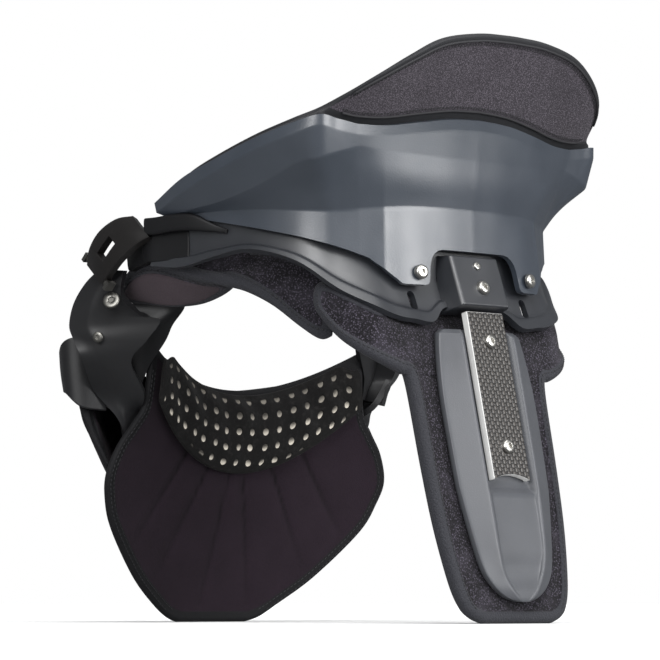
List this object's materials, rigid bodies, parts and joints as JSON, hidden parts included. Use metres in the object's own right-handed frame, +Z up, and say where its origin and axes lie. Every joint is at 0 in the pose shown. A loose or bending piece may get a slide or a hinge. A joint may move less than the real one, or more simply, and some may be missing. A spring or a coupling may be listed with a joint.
{
  "type": "karting neck brace",
  "caption": "Karting neck brace: cupped rear shell with helmet pad and back strut, hinged front half with chest flap, padded collar and a side latch, open round the neck.",
  "frame": {"origin": "middle of the bounding box on the ground, under the neck opening", "axes": "+X to the wearer's left, +Y to the wearer's back, +Z up"},
  "size_m": [0.244, 0.2658, 0.299],
  "materials": {
    "shell_plastic": "satin charcoal moulding",
    "base_plastic": "satin black-grey moulding",
    "front_plastic": "matte dark grey moulding",
    "plate_plastic": "fine-grained grey moulding",
    "weave": "plain-weave carbon laminate",
    "loop_cloth": "fuzzy loop fabric with smooth bound edges",
    "cloth": "smooth foam-backed cloth",
    "spacer_cloth": "black perforated lining",
    "steel": "bright plated steel"
  },
  "bodies": {
    "rear_half": {"rear_shell": "shell_plastic", "helmet_pad": "cloth", "rear_base": "base_plastic", "strut_plate": "plate_plastic", "strut_strip": "weave", "back_pad": "loop_cloth", "shoulder_pad_left": "loop_cloth", "shoulder_pad_right": "loop_cloth", "tab_screw_left": "steel", "tab_screw_right": "steel", "boss_screw": "steel", "boss_rivet": "steel", "strip_screw_upper": "steel", "strip_screw_lower": "steel", "hinge_bracket_right": "base_plastic"},
    "front_half": {"chest_flap": "cloth", "neck_collar": "spacer_cloth", "front_band": "front_plastic", "front_skirt": "cloth", "front_deck": "cloth", "side_panel_left": "front_plastic", "side_panel_right": "front_plastic", "neck_wing_left": "front_plastic", "neck_wing_right": "front_plastic", "latch_clip_right": "front_plastic", "latch_pivot_left": "steel", "panel_screw_left": "steel", "panel_screw_right": "steel", "panel_rivet_left": "steel", "panel_rivet_right": "steel"},
    "latch": {"latch_clip_left": "front_plastic"}
  },
  "joints": [
    {"name": "front_swing", "type": "hinge", "parent": "rear_half", "child": "front_half", "pos_m": [-0.1155, -0.0374, 0.2035], "axis": [0, 0, -1], "range_deg": [0, 75]},
    {"name": "latch_lever", "type": "hinge", "parent": "front_half", "child": "latch", "pos_m": [0.1184, -0.0622, 0.1838], "axis": [0, 0.7268, -0.6868], "range_deg": [0, 50]}
  ]
}
